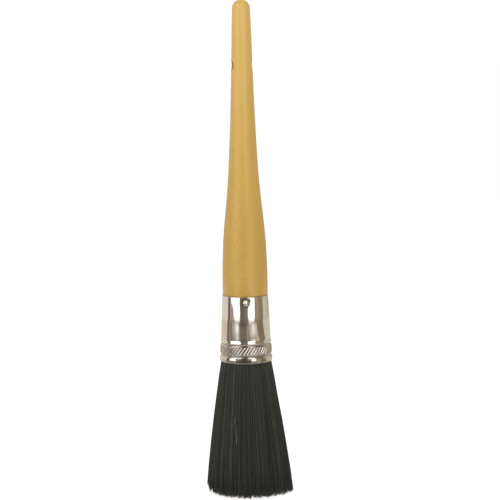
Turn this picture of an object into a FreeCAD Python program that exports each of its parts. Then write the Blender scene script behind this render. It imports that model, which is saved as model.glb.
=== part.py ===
import FreeCAD, Part
import Sketcher
import math
import os

# Round stencil brush. Millimetres, +Z up.
# The row origin is the centre of the flat bristle tips, and the brush stands on them,
# handle upwards. The hanging hole runs along X. Nothing on it moves.

V = FreeCAD.Vector
doc = FreeCAD.newDocument("stencil_brush")

# ------------------------------------------------------------------ driving dimensions
sheet = doc.addObject("Spreadsheet::Sheet", "Sheet")
SIZES = [
    # whole brush
    ("length_out", 73.0, "bristle showing below the ferrule mouth"),
    # ferrule: conical sheet-metal sleeve
    ("ferrule_length", 36.6, "mouth to upper rim"),
    ("mouth_radius", 14.3, "outside, at the mouth"),
    ("rim_radius", 12.8, "outside, at the upper rim"),
    ("wall", 0.4, "sheet thickness"),
    ("collar_height", 5.0, "straight part under the upper rim, where the nails go"),
    ("lip_height", 3.4, "rounded lip at the mouth"),
    ("lip_curve", 9.0, "radius of the lip's bulge"),
    ("lower_groove_height", 0.8, "rolled groove above the lip"),
    ("lower_groove_depth", 0.16, ""),
    ("band_height", 5.4, "embossed band"),
    ("band_rise", 0.1, "how far the band stands out"),
    ("upper_groove_height", 0.6, "rolled groove above the band"),
    ("upper_groove_depth", 0.12, ""),
    ("bead_height", 1.6, "rolled bead above the upper groove"),
    ("bead_curve", 1.4, "radius of the bead's section"),
    ("rib_count", 48, "slanting ribs round the band"),
    ("rib_width", 0.6, ""),
    ("rib_rise", 0.2, "rib height above the band"),
    ("rib_slant", 1.9, "sideways run of one rib"),
    ("rib_margin", 0.5, "plain edge above and below the ribs"),
    # nails
    ("nail_drop", 3.2, "nail axis below the upper rim"),
    ("nail_turn", -10.0, "degrees round from the front of the brush"),
    ("nail_count", 2, ""),
    ("nail_head_radius", 1.75, ""),
    ("nail_head_height", 1.05, ""),
    ("nail_head_curve", 1.983, "dome radius of the head"),
    ("nail_radius", 0.65, ""),
    ("nail_length", 10.0, "under the head"),
    ("nail_point", 1.8, "length of the point"),
    ("nail_gap", 0.03, "room round the shank"),
    # handle: one turned piece
    ("spigot_length", 17.6, "part of the handle inside the ferrule"),
    ("spigot_chamfer", 0.8, ""),
    ("handle_length", 178.8, "with the spigot"),
    ("bulb_radius", 12.34, ""),
    ("bulb_start", 25.0, "height where the bulb starts to round in"),
    ("bulb_top_height", 33.3, "control points of the turned curve, bottom to top"),
    ("bulb_shoulder_height", 49.8, ""),
    ("bulb_shoulder_radius", 12.01, ""),
    ("neck_height", 74.7, ""),
    ("neck_radius", 8.79, ""),
    ("waist_height", 99.5, ""),
    ("waist_radius", 7.41, ""),
    ("grip_height", 124.3, ""),
    ("grip_radius", 6.36, ""),
    ("upper_grip_height", 149.2, ""),
    ("upper_grip_radius", 5.63, ""),
    ("end_height", 165.7, ""),
    ("end_radius", 5.21, ""),
    ("dome_start", 174.0, "height where the curve runs into the end dome"),
    ("dome_foot_radius", 4.9, ""),
    ("hole_height", 143.4, "hanging hole above the spigot's end"),
    ("hole_radius", 2.5, ""),
    ("hole_edge", 0.5, "rounded edges of the hanging hole"),
    # setting and bristles
    ("fit_gap", 0.05, "between the filling and the ferrule"),
    ("setting_bottom", 11.0, "underside of the setting above the ferrule mouth"),
    ("setting_height", 8.0, "up to the end of the spigot"),
    ("tip_radius", 23.73, "flat bristle end"),
    ("tip_round", 1.6, "rounding of the tip corner"),
    ("tuft_low_height", 13.2, "control points of the tuft's side, bottom to top"),
    ("tuft_low_radius", 22.42, ""),
    ("tuft_middle_height", 36.4, ""),
    ("tuft_middle_radius", 19.82, ""),
    ("tuft_high_height", 59.6, ""),
    ("tuft_high_radius", 15.8, ""),
    ("tuft_neck_radius", 14.3, "just below the mouth"),
    ("tuft_neck_drop", 1.8, "below the mouth"),
]
NUM = {}
for row, (alias, number, note) in enumerate(SIZES, start=1):
    sheet.set("A%d" % row, alias)
    sheet.set("B%d" % row, repr(number))
    sheet.set("C%d" % row, note)
    sheet.setAlias("B%d" % row, alias)
    NUM[alias] = float(number)
doc.recompute()


class Dim:
    """A size with its formula in the sheet, so that geometry and binding come from one place."""

    def __init__(self, number, formula):
        self.v, self.e = float(number), formula

    @staticmethod
    def of(x):
        return x if isinstance(x, Dim) else Dim(x, repr(float(x)))

    def __add__(self, o):
        o = Dim.of(o)
        return Dim(self.v + o.v, "(%s + %s)" % (self.e, o.e))

    def __radd__(self, o):
        return Dim.of(o) + self

    def __sub__(self, o):
        o = Dim.of(o)
        return Dim(self.v - o.v, "(%s - %s)" % (self.e, o.e))

    def __rsub__(self, o):
        return Dim.of(o) - self

    def __mul__(self, o):
        o = Dim.of(o)
        return Dim(self.v * o.v, "(%s * %s)" % (self.e, o.e))

    def __rmul__(self, o):
        return Dim.of(o) * self

    def __truediv__(self, o):
        o = Dim.of(o)
        return Dim(self.v / o.v, "(%s / %s)" % (self.e, o.e))

    def __neg__(self):
        return Dim(-self.v, "(0 - %s)" % self.e)


def size(alias):
    return Dim(NUM[alias], "Sheet." + alias)


# ------------------------------------------------------------------ helpers
def new_body(label, height=None):
    """A body with its own label, placed at a height of the brush that comes from the sheet."""
    body = doc.addObject("PartDesign::Body", label)
    body.Label = label
    body.Placement = FreeCAD.Placement(V(0, 0, height.v if height else 0.0), FreeCAD.Rotation())
    if height:
        body.setExpression("Placement.Base.z", height.e)
    return body


def plane(body, role):
    return [o for o in body.Origin.OriginFeatures if o.Role == role][0]


def new_sketch(body, name, role="XZ_Plane", offset=None):
    sk = body.newObject("Sketcher::SketchObject", name)
    sk.AttachmentSupport = [(plane(body, role), "")]
    sk.MapMode = "FlatFace"
    if offset is not None:
        sk.AttachmentOffset = offset
    return sk


def bind(sk, kind, args, dim, name):
    """Adds one named dimension to a sketch and ties it to the sheet."""
    i = sk.addConstraint(Sketcher.Constraint(kind, *args, dim.v))
    sk.renameConstraint(i, name)
    sk.setExpression("Constraints." + name, dim.e)


def pin_point(sk, geo, pos, x, y, name):
    """Puts a sketch point at (x, y), each coordinate on an axis or tied to the sheet."""
    x, y = Dim.of(x), Dim.of(y)
    if x.v == 0.0:
        sk.addConstraint(Sketcher.Constraint("PointOnObject", geo, pos, -2))
    else:
        bind(sk, "DistanceX", (-1, 1, geo, pos), x, name + "_x")
    if y.v == 0.0:
        sk.addConstraint(Sketcher.Constraint("PointOnObject", geo, pos, -1))
    else:
        bind(sk, "DistanceY", (-1, 1, geo, pos), y, name + "_y")


def profile(sk, points, arcs=None, curves=None):
    """Closed profile of lines, of arcs where arcs gives {edge: (radius, side)}, and of smooth
    curves where curves gives {edge: inner control points}.
    Side +1 bulges to the left of the way from point to point, -1 to the right."""
    arcs, curves = arcs or {}, curves or {}
    pts = [(Dim.of(x), Dim.of(y)) for x, y in points]
    n = len(pts)
    ends = []
    for i in range(n):
        (x1, y1), (x2, y2) = pts[i], pts[(i + 1) % n]
        p, q = V(x1.v, y1.v, 0), V(x2.v, y2.v, 0)
        if i in curves:
            poles = [p] + [V(x.v, y.v, 0) for x, y in curves[i]] + [q]
            spans = len(poles) - 3
            bs = Part.BSplineCurve()
            bs.buildFromPolesMultsKnots(poles, [4] + [1] * (spans - 1) + [4], list(range(spans + 1)), False, 3)
            g = sk.addGeometry(bs, False)
            ends.append((g, 1, 2))
        elif i in arcs:
            radius, side = arcs[i]
            chord = q - p
            left = V(-chord.y, chord.x, 0).normalize()
            back = math.sqrt(max(radius.v ** 2 - (chord.Length / 2) ** 2, 0.0))
            c = (p + q) * 0.5 - left * (side * back)
            ap, aq = math.atan2(p.y - c.y, p.x - c.x), math.atan2(q.y - c.y, q.x - c.x)
            lo, hi, first = (aq, ap, 2) if side > 0 else (ap, aq, 1)
            while hi < lo:
                hi += 2 * math.pi
            g = sk.addGeometry(Part.ArcOfCircle(Part.Circle(c, V(0, 0, 1), radius.v), lo, hi), False)
            ends.append((g, first, 3 - first))
        else:
            g = sk.addGeometry(Part.LineSegment(p, q), False)
            ends.append((g, 1, 2))
    for i in range(n):
        g, s, e = ends[i]
        g2, s2, e2 = ends[(i + 1) % n]
        sk.addConstraint(Sketcher.Constraint("Coincident", g, e, g2, s2))
    for i in range(n):
        g, s, e = ends[i]
        pin_point(sk, g, s, pts[i][0], pts[i][1], "p%d" % i)
    for i, (radius, side) in arcs.items():
        bind(sk, "Radius", (ends[i][0],), radius, "curve%d" % i)
    for i, inner in curves.items():
        first_pole = sk.GeometryCount
        sk.exposeInternalGeometry(ends[i][0])
        for k, (x, y) in enumerate(inner, start=1):
            pin_point(sk, first_pole + k, 3, x, y, "pole%d_%d" % (i, k))


def revolve(body, sk, name, cut=False, axis="V_Axis"):
    f = body.newObject("PartDesign::Groove" if cut else "PartDesign::Revolution", name)
    f.Profile = sk
    f.ReferenceAxis = (sk, [axis])
    f.Angle = 360.0
    doc.recompute()
    return f


def around(body, feature, name, count, alias=None):
    f = body.newObject("PartDesign::PolarPattern", name)
    f.Originals = [feature]
    f.Axis = ([o for o in body.Origin.OriginFeatures if o.Role == "Z_Axis"][0], [""])
    f.Angle = 360.0
    f.Occurrences = int(count)
    if alias:
        f.setExpression("Occurrences", "Sheet." + alias)
    body.Tip = f
    doc.recompute()
    return f


def turned(x, y, z, degrees, axis):
    return FreeCAD.Placement(V(x, y, z), FreeCAD.Rotation(axis, degrees))


VOLUMES = []


def volume_step(body, before, wanted, what):
    """Each cut must take material away and each addition must add some."""
    now = body.Shape.Volume
    VOLUMES.append((what, before, now))
    if (wanted == "less" and not now < before - 1e-4) or (wanted == "more" and not now > before + 1e-4):
        raise RuntimeError("%s did not change the volume as it should: %.4f -> %.4f" % (what, before, now))
    return now


nothing = Dim(0.0, "0")
taper_run = size("ferrule_length") - size("collar_height")
ferrule_taper = (size("mouth_radius") - size("rim_radius")) / taper_run


def cone_at(height):
    """Outside radius of the plain ferrule cone at a height above its mouth."""
    return size("mouth_radius") - ferrule_taper * height


# ------------------------------------------------------------------ handle
spigot_bottom = size("length_out") + size("ferrule_length") - size("spigot_length")
handle = new_body("handle", spigot_bottom)

sk = new_sketch(handle, "HandleProfile", "YZ_Plane")  # keeps the seam of the turned faces away from the hanging hole
up = V(0, 0, 1)
# the end dome is part of a sphere centred on the axis
rise, foot = NUM["handle_length"] - NUM["dome_start"], NUM["dome_foot_radius"]
dome_curve = (rise * rise + foot * foot) / (2 * rise)
profile(
    sk,
    [
        (nothing, nothing),
        (size("bulb_radius"), nothing),
        (size("bulb_radius"), size("bulb_start")),
        (size("dome_foot_radius"), size("dome_start")),
        (nothing, size("handle_length")),
    ],
    {
        3: (
            Dim(
                dome_curve,
                "((pow(Sheet.handle_length - Sheet.dome_start; 2) + pow(Sheet.dome_foot_radius; 2))"
                " / (2 * (Sheet.handle_length - Sheet.dome_start)))",
            ),
            -1,
        )
    },
    {
        2: [
            (size("bulb_radius"), size("bulb_top_height")),
            (size("bulb_shoulder_radius"), size("bulb_shoulder_height")),
            (size("neck_radius"), size("neck_height")),
            (size("waist_radius"), size("waist_height")),
            (size("grip_radius"), size("grip_height")),
            (size("upper_grip_radius"), size("upper_grip_height")),
            (size("end_radius"), size("end_height")),
        ]
    },
)
handle_turned = revolve(handle, sk, "HandleTurned")
vol = handle.Shape.Volume

# hanging hole, drilled across along X, with its edges rounded
sk = new_sketch(handle, "HangHoleSketch", "YZ_Plane")
g = sk.addGeometry(Part.Circle(V(0, NUM["hole_height"], 0), up, NUM["hole_radius"]), False)
sk.addConstraint(Sketcher.Constraint("PointOnObject", g, 3, -2))
bind(sk, "DistanceY", (-1, 1, g, 3), size("hole_height"), "hole_height")
bind(sk, "Radius", (g,), size("hole_radius"), "hole_radius")
hole = handle.newObject("PartDesign::Pocket", "HangHole")
hole.Profile = sk
hole.Type = "ThroughAll"
hole.SideType = "Symmetric"
doc.recompute()
vol = volume_step(handle, vol, "less", "hanging hole")

def round_the_hole(e):
    """True for an edge that runs round either mouth of the hanging hole."""
    if e.Degenerated or e.Length < 1.0:
        return False
    on_wall = all(
        abs(math.hypot(p.y, p.z - NUM["hole_height"]) - NUM["hole_radius"]) < 0.01 for p in e.discretize(5)
    )
    return on_wall and e.BoundBox.XLength < 2.0 and e.BoundBox.ZLength > 1.0


edges = ["Edge%d" % i for i, e in enumerate(hole.Shape.Edges, start=1) if round_the_hole(e)]
fil = handle.newObject("PartDesign::Fillet", "HangHoleEdges")
fil.Base = (hole, edges)
fil.Radius = NUM["hole_edge"]
fil.setExpression("Radius", "Sheet.hole_edge")
doc.recompute()
vol = volume_step(handle, vol, "less", "hanging hole edges")

# chamfer round the spigot's end
edges = [
    "Edge%d" % i
    for i, e in enumerate(fil.Shape.Edges, start=1)
    if e.BoundBox.ZLength < 1e-4 and abs(e.BoundBox.Center.z) < 1e-4
]
cham = handle.newObject("PartDesign::Chamfer", "SpigotChamfer")
cham.Base = (fil, edges)
cham.Size = NUM["spigot_chamfer"]
cham.setExpression("Size", "Sheet.spigot_chamfer")
doc.recompute()
vol = volume_step(handle, vol, "less", "spigot chamfer")


# ------------------------------------------------------------------ nails
# Half section of one nail in the horizontal plane of its axis: the head outside, the point
# towards the brush's middle. The sketch's own -Y points straight out through the front nail.
def nail_points(grow=nothing, reach=nothing):
    seat = size("rim_radius") + 0.02
    point = seat - size("nail_length")
    shank = size("nail_radius") + grow
    return seat, point, shank


nail_height = size("length_out") + size("ferrule_length") - size("nail_drop")
nails = new_body("ferrule_nails", nail_height)
nails.AllowCompound = True
seat, point, shank = nail_points()
facing = turned(0, 0, 0, NUM["nail_turn"], V(0, 0, 1))
sk = new_sketch(nails, "NailProfile", "XY_Plane", facing)
sk.setExpression("AttachmentOffset.Rotation.Angle", "Sheet.nail_turn")
profile(
    sk,
    [
        (nothing, -(seat + size("nail_head_height"))),
        (size("nail_head_radius"), -(seat + 0.02)),
        (size("nail_head_radius") - 0.12, -seat),
        (shank, -seat),
        (shank, -(point + size("nail_point"))),
        (nothing, -point),
    ],
    {0: (size("nail_head_curve"), -1)},
)
nail = revolve(nails, sk, "Nail")
around(nails, nail, "NailsAround", NUM["nail_count"], "nail_count")

# the nails' holes in the handle
spigot_to_nail = size("spigot_length") - size("nail_drop")
seat, point, shank = nail_points(size("nail_gap"))


def nail_cutter(body, name, inner, height):
    off = turned(0, 0, height.v, NUM["nail_turn"], V(0, 0, 1))
    s = new_sketch(body, name + "Sketch", "XY_Plane", off)
    s.setExpression("AttachmentOffset.Base.z", height.e)
    s.setExpression("AttachmentOffset.Rotation.Angle", "Sheet.nail_turn")
    if inner:
        pts = [
            (nothing, -(seat + 1.0)),
            (shank, -(seat + 1.0)),
            (shank, -(point + size("nail_point"))),
            (nothing, -(point - 0.08)),
        ]
    else:
        pts = [
            (nothing, -(seat + 1.0)),
            (shank, -(seat + 1.0)),
            (shank, -(size("rim_radius") - 1.5)),
            (nothing, -(size("rim_radius") - 1.5)),
        ]
    profile(s, pts)
    c = revolve(body, s, name, cut=True)
    return c


cutter = nail_cutter(handle, "NailHole", True, spigot_to_nail)
vol = volume_step(handle, vol, "less", "nail hole in the handle")
around(handle, cutter, "NailHolesAround", NUM["nail_count"], "nail_count")
vol = volume_step(handle, vol, "less", "second nail hole in the handle")

# ------------------------------------------------------------------ ferrule
ferrule = new_body("ferrule", size("length_out"))
inner_rim = size("rim_radius") - size("wall")
inner_mouth = size("mouth_radius") - size("wall")
sk = new_sketch(ferrule, "SleeveProfile")
profile(
    sk,
    [
        (inner_mouth, nothing),
        (size("mouth_radius"), nothing),
        (size("rim_radius"), taper_run),
        (size("rim_radius"), size("ferrule_length") - 0.12),
        (size("rim_radius") - 0.12, size("ferrule_length")),
        (inner_rim + 0.1, size("ferrule_length")),
        (inner_rim, size("ferrule_length") - 0.1),
        (inner_rim, taper_run),
    ],
)
revolve(ferrule, sk, "Sleeve")
vol = ferrule.Shape.Volume

# rounded lip at the mouth
sk = new_sketch(ferrule, "LipProfile")
profile(
    sk,
    [
        (size("mouth_radius") - 0.1, nothing),
        (size("mouth_radius"), nothing),
        (cone_at(size("lip_height")), size("lip_height")),
        (cone_at(size("lip_height")) - 0.1, size("lip_height")),
    ],
    {1: (size("lip_curve"), -1)},
)
revolve(ferrule, sk, "Lip")
vol = volume_step(ferrule, vol, "more", "lip")

# grooves below and above the embossed band
band_bottom = size("lip_height") + size("lower_groove_height")
band_top = band_bottom + size("band_height")
bead_bottom = band_top + size("upper_groove_height")
bead_top = bead_bottom + size("bead_height")
for name, low, high, depth in (
    ("LowerGroove", size("lip_height"), band_bottom, size("lower_groove_depth")),
    ("UpperGroove", band_top, bead_bottom, size("upper_groove_depth")),
):
    middle = (low + high) / 2.0
    sk = new_sketch(ferrule, name + "Profile")
    profile(
        sk,
        [
            (cone_at(low) + 0.02, low),
            (cone_at(middle) + 0.6, middle),
            (cone_at(high) + 0.02, high),
            (cone_at(middle) - depth, high - 0.15),
            (cone_at(middle) - depth, low + 0.15),
        ],
    )
    revolve(ferrule, sk, name, cut=True)
    vol = volume_step(ferrule, vol, "less", name)

# the embossed band itself
sk = new_sketch(ferrule, "BandProfile")
profile(
    sk,
    [
        (cone_at(band_bottom) - 0.05, band_bottom),
        (cone_at(band_bottom) + size("band_rise"), band_bottom + 0.12),
        (cone_at(band_top) + size("band_rise"), band_top - 0.12),
        (cone_at(band_top) - 0.05, band_top),
    ],
)
revolve(ferrule, sk, "Band")
vol = volume_step(ferrule, vol, "more", "band")

# rolled bead
sk = new_sketch(ferrule, "BeadProfile")
profile(
    sk,
    [
        (cone_at(bead_bottom) - 0.1, bead_bottom),
        (cone_at(bead_bottom), bead_bottom),
        (cone_at(bead_top), bead_top),
        (cone_at(bead_top) - 0.1, bead_top),
    ],
    {1: (size("bead_curve"), -1)},
)
revolve(ferrule, sk, "Bead")
vol = volume_step(ferrule, vol, "more", "bead")

# nail holes
cutter = nail_cutter(ferrule, "NailHoleFerrule", False, size("ferrule_length") - size("nail_drop"))
vol = volume_step(ferrule, vol, "less", "nail hole in the ferrule")
around(ferrule, cutter, "NailHolesFerruleAround", NUM["nail_count"], "nail_count")
vol = volume_step(ferrule, vol, "less", "second nail hole in the ferrule")

# one slanting rib, on a plane that leans with the cone, then all round the band
lean = math.degrees(math.atan(ferrule_taper.v))
half = size("band_height") / 2.0 - size("rib_margin")
middle = (band_bottom + band_top) / 2.0
foot = cone_at(middle) - 0.1
off = FreeCAD.Placement(V(0, middle.v, foot.v), FreeCAD.Rotation(V(1, 0, 0), -lean))
sk = new_sketch(ferrule, "RibSketch", "XZ_Plane", off)
sk.setExpression("AttachmentOffset.Base.y", middle.e)
sk.setExpression("AttachmentOffset.Base.z", foot.e)
w, run = size("rib_width") / 2.0, size("rib_slant") / 2.0
profile(
    sk,
    [
        (-run - w, -half),
        (-run + w, -half),
        (run + w, half),
        (run - w, half),
    ],
)
rib = ferrule.newObject("PartDesign::Pad", "Rib")
rib.Profile = sk
pad_height = size("rib_rise") + size("band_rise") + 0.1
rib.Length = pad_height.v
rib.setExpression("Length", pad_height.e)
doc.recompute()
vol = volume_step(ferrule, vol, "more", "first rib")
around(ferrule, rib, "RibsAround", NUM["rib_count"], "rib_count")
vol = volume_step(ferrule, vol, "more", "ribs")

# ------------------------------------------------------------------ setting
setting = new_body("resin_plug", size("length_out") + size("setting_bottom"))


def bore_at(height):
    """Radius left for the filling at a height above the ferrule's mouth."""
    return cone_at(height) - size("wall") - size("fit_gap")


low, high = size("setting_bottom"), size("setting_bottom") + size("setting_height")
sk = new_sketch(setting, "SettingProfile")
profile(
    sk,
    [
        (nothing, nothing),
        (bore_at(low), nothing),
        (bore_at(high), size("setting_height")),
        (nothing, size("setting_height")),
    ],
)
revolve(setting, sk, "Setting")

# ------------------------------------------------------------------ bristles
tuft = new_body("bristle_tuft")
sk = new_sketch(tuft, "TuftProfile")
mouth = size("length_out")
# the side leaves the tip corner a little inside the full radius
profile(
    sk,
    [
        (nothing, nothing),
        (size("tip_radius") - size("tip_round"), nothing),
        (size("tip_radius"), size("tip_round")),
        (size("tuft_neck_radius"), mouth - size("tuft_neck_drop")),
        (bore_at(nothing), mouth),
        (bore_at(size("setting_bottom")), mouth + size("setting_bottom")),
        (nothing, mouth + size("setting_bottom")),
    ],
    {1: (size("tip_round"), -1)},
    {
        2: [
            (size("tuft_low_radius"), size("tuft_low_height")),
            (size("tuft_middle_radius"), size("tuft_middle_height")),
            (size("tuft_high_radius"), size("tuft_high_height")),
        ]
    },
)
revolve(tuft, sk, "Tuft")

# ------------------------------------------------------------------ checks and files
doc.recompute()
bad = [o.Label for o in doc.Objects if "Invalid" in o.State or "Error" in o.State]
if bad:
    raise RuntimeError("objects that failed: %s" % bad)
NODES = [handle, ferrule, nails, setting, tuft]
for node in NODES:
    s = node.Shape
    if s.isNull() or not s.isValid():
        raise RuntimeError(node.Label + ": shape is null or not valid")
os.makedirs("parts", exist_ok=True)
for node in NODES:
    node.Shape.exportStep("parts/%s.step" % node.Label)
    b = node.Shape.BoundBox
    print(
        "%-14s solids %d  faces %4d  volume %9.2f mm3  x %.2f..%.2f  y %.2f..%.2f  z %.2f..%.2f"
        % (node.Label, len(node.Shape.Solids), len(node.Shape.Faces), node.Shape.Volume,
           b.XMin, b.XMax, b.YMin, b.YMax, b.ZMin, b.ZMax)
    )
for what, before, now in VOLUMES:
    print("%-34s %10.3f -> %10.3f" % (what, before, now))
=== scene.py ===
import math

import bpy
import numpy as np
from mathutils import Matrix, Vector


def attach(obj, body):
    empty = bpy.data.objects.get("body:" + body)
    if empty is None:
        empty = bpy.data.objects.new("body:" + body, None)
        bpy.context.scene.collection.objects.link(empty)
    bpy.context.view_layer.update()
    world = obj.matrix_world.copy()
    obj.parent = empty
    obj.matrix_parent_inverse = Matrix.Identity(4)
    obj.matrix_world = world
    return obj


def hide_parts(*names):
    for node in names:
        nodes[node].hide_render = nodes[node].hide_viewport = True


# Round stencil brush. Sizes below are in millimetres and match the CAD model; meshes are
# written in metres, in the CAD frame: origin at the middle of the bristle tips, +Z up.

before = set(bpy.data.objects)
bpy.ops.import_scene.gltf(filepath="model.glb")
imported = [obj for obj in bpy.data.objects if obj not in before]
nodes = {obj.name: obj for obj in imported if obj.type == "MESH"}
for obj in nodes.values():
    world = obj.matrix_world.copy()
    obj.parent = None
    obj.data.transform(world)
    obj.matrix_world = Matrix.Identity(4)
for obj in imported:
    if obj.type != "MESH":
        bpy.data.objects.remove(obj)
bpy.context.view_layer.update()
scene = bpy.context.scene
MM = 0.001
TAU = 2.0 * math.pi

# ------------------------------------------------------------------ view
AZ, EL = math.radians(-11.5), math.radians(7.0)
BACK = np.array([math.sin(AZ), -math.cos(AZ), 0.0])  # level, from the brush towards the camera
RIGHT = np.array([math.cos(AZ), math.sin(AZ), 0.0])  # level, to the camera's right
FOCAL_PX = 1858.0  # in a frame 500 wide
DIST = 1.0214
ROLL = math.radians(0.85)
AIM_SHIFT = 0.00297  # the brush stands a little left of the middle of the frame


def rng(seed):
    return np.random.default_rng(seed)


def smooth(t):
    t = np.clip(t, 0.0, 1.0)
    return t * t * (3 - 2 * t)


# ------------------------------------------------------------------ mesh helpers
def build(name, verts, faces, uvs=None, slots=None, smooth_faces=True, attributes=None):
    """verts (n, 3) in mm. faces is a list of (m, k) index arrays, uvs a matching list of
    (m, k, 2) arrays, slots a matching list of material indices (a number or an array)."""
    verts = np.asarray(verts, np.float64)
    me = bpy.data.meshes.new(name)
    me.vertices.add(len(verts))
    me.vertices.foreach_set("co", (verts * MM).astype(np.float32).ravel())
    loops = np.concatenate([f.ravel() for f in faces]).astype(np.int32)
    sizes = np.concatenate([np.full(len(f), f.shape[1], np.int32) for f in faces])
    starts = np.concatenate([[0], np.cumsum(sizes)[:-1]]).astype(np.int32)
    me.loops.add(len(loops))
    me.loops.foreach_set("vertex_index", loops)
    me.polygons.add(len(sizes))
    me.polygons.foreach_set("loop_start", starts)
    me.polygons.foreach_set("use_smooth", np.full(len(sizes), smooth_faces, bool))
    if slots is not None:
        idx = np.concatenate([np.broadcast_to(np.asarray(s, np.int32), (len(f),)) for s, f in zip(slots, faces)])
        me.polygons.foreach_set("material_index", idx.astype(np.int32))
    me.update(calc_edges=True)
    if uvs is not None:
        layer = me.uv_layers.new(name="OFBake")
        flat = np.concatenate([u.reshape(-1, 2) for u in uvs]).astype(np.float32)
        layer.data.foreach_set("uv", flat.ravel())
    for key, values in (attributes or {}).items():
        at = me.attributes.new(key, "FLOAT", "POINT")
        at.data.foreach_set("value", np.asarray(values, np.float32))
    me.validate()
    ob = bpy.data.objects.new(name, me)
    scene.collection.objects.link(ob)
    return ob


def grid_faces(rows, cols, base=0, flip=False):
    """Quads of a closed-round grid, rows x cols, rows upwards and columns anticlockwise."""
    r, c = np.meshgrid(np.arange(rows - 1), np.arange(cols), indexing="ij")
    a = base + r * cols + c
    b = base + r * cols + (c + 1) % cols
    q = np.stack([a, b, b + cols, a + cols], -1).reshape(-1, 4)
    return q[:, ::-1] if flip else q


def grid_uv(rows, cols, v, flip=False, u0=0.0, u1=1.0):
    """UVs for grid_faces: u round the axis, v a value for each row."""
    v = np.asarray(v, float)
    r, c = np.meshgrid(np.arange(rows - 1), np.arange(cols), indexing="ij")
    ua, ub = u0 + (u1 - u0) * c / cols, u0 + (u1 - u0) * (c + 1) / cols
    va, vb = v[r], v[r + 1]
    uv = np.stack(
        [np.stack([ua, va], -1), np.stack([ub, va], -1), np.stack([ub, vb], -1), np.stack([ua, vb], -1)], -2
    ).reshape(-1, 4, 2)
    return uv[:, ::-1] if flip else uv


def spline(points, count=4000):
    """The clamped cubic spline with these control points, sampled evenly."""
    p = np.asarray(points, float)
    n = len(p)
    spans = n - 3
    knots = np.concatenate([[0] * 3, np.arange(spans + 1), [spans] * 3]).astype(float)
    t = np.linspace(0, spans, count)
    out = np.zeros((count, p.shape[1]))
    for j, tj in enumerate(t):
        k = min(int(tj), spans - 1) + 3
        d = [p[i].copy() for i in range(k - 3, k + 1)]
        for r in range(1, 4):
            for i in range(3, r - 1, -1):
                lo, hi = knots[k - 3 + i], knots[k + 1 + i - r]
                a = (tj - lo) / (hi - lo)
                d[i] = (1 - a) * d[i - 1] + a * d[i]
        out[j] = d[3]
    return out


# ------------------------------------------------------------------ sizes, as in the CAD model
MOUTH_Z, RIM_Z = 73.0, 109.6
MOUTH_R, RIM_R, WALL, COLLAR = 14.3, 12.8, 0.4, 5.0
CONE_TOP = RIM_Z - COLLAR
TAPER = (MOUTH_R - RIM_R) / (CONE_TOP - MOUTH_Z)
SKIRT_TOP = 84.8  # top of the bead; above it the sleeve runs straight to the rim
SKIRT_R = MOUTH_R - TAPER * (SKIRT_TOP - MOUTH_Z)
RIM_SEEN = 12.74
SPIGOT_Z = 92.0
TOP_Z = 270.8
HOLE_Z, HOLE_R, HOLE_EDGE = SPIGOT_Z + 143.4, 2.5, 0.5
NAIL_Z, NAIL_TURN = 106.4, math.radians(-10.0)
NAIL_DIRS = [
    np.array([math.sin(NAIL_TURN), -math.cos(NAIL_TURN), 0.0]),
    np.array([-math.sin(NAIL_TURN), math.cos(NAIL_TURN), 0.0]),
]
NAIL_ANGLES = [math.atan2(d[1], d[0]) for d in NAIL_DIRS]


def cone_r(z):
    """Outside of the sleeve without its rolled details: the sheet runs on to the rim in one
    straight cone, with the CAD's short collar evened out."""
    low = MOUTH_R - TAPER * (z - MOUTH_Z)
    high = SKIRT_R + (RIM_SEEN - SKIRT_R) * (z - SKIRT_TOP) / (RIM_Z - SKIRT_TOP)
    return np.where(z > SKIRT_TOP, high, low)


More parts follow.
